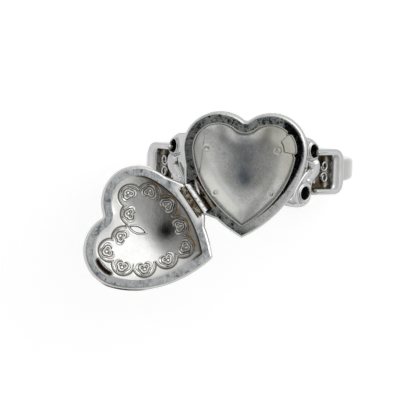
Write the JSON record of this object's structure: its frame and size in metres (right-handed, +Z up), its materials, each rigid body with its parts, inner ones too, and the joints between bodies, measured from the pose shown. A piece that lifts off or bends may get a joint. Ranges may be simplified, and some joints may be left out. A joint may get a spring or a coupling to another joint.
{
  "type": "locket ring",
  "caption": "Finger ring with a heart-shaped box on top, whose puffed lid swings open on a side hinge; looped bows and open collars join the box to the shank.",
  "frame": {"origin": "centre of the finger bore", "axes": "+Y along the finger bore, towards the heart's notch; +Z up through the locket; +X to the right of the heart seen from above"},
  "size_m": [0.0262, 0.0181, 0.0244],
  "materials": {
    "polished_silver": "polished",
    "satin_silver": "satin",
    "rim_silver": "scratched",
    "relief_silver": "polished, tarnished in the hollows",
    "hinge_silver": "worn"
  },
  "bodies": {
    "ring": {"shank": "polished_silver", "right_saddle": "polished_silver", "left_saddle": "polished_silver", "right_knot": "polished_silver", "left_knot": "polished_silver", "right_upper_bow": "polished_silver", "left_upper_bow": "polished_silver", "right_lower_bow": "polished_silver", "left_lower_bow": "polished_silver", "right_collar": "polished_silver", "left_collar": "polished_silver", "right_curls": "polished_silver", "left_curls": "polished_silver", "base_wall": "rim_silver", "base_floor": "polished_silver", "base_liner": "satin_silver", "liner_rivets": "satin_silver", "catch_tongue": "satin_silver", "base_knuckles": "hinge_silver", "hinge_pin": "hinge_silver"},
    "lid": {"lid_rim": "rim_silver", "lid_dome": "relief_silver", "lid_field": "relief_silver", "heart_motifs": "relief_silver", "marquise_loop": "relief_silver", "catch_keeper": "relief_silver", "lid_knuckle": "hinge_silver"}
  },
  "joints": [
    {"name": "lid_hinge", "type": "hinge", "parent": "ring", "child": "lid", "pos_m": [-0.00452, -0.00301, 0.0119], "axis": [-0.5878, 0.809, 0], "range_deg": [0, 172]}
  ]
}
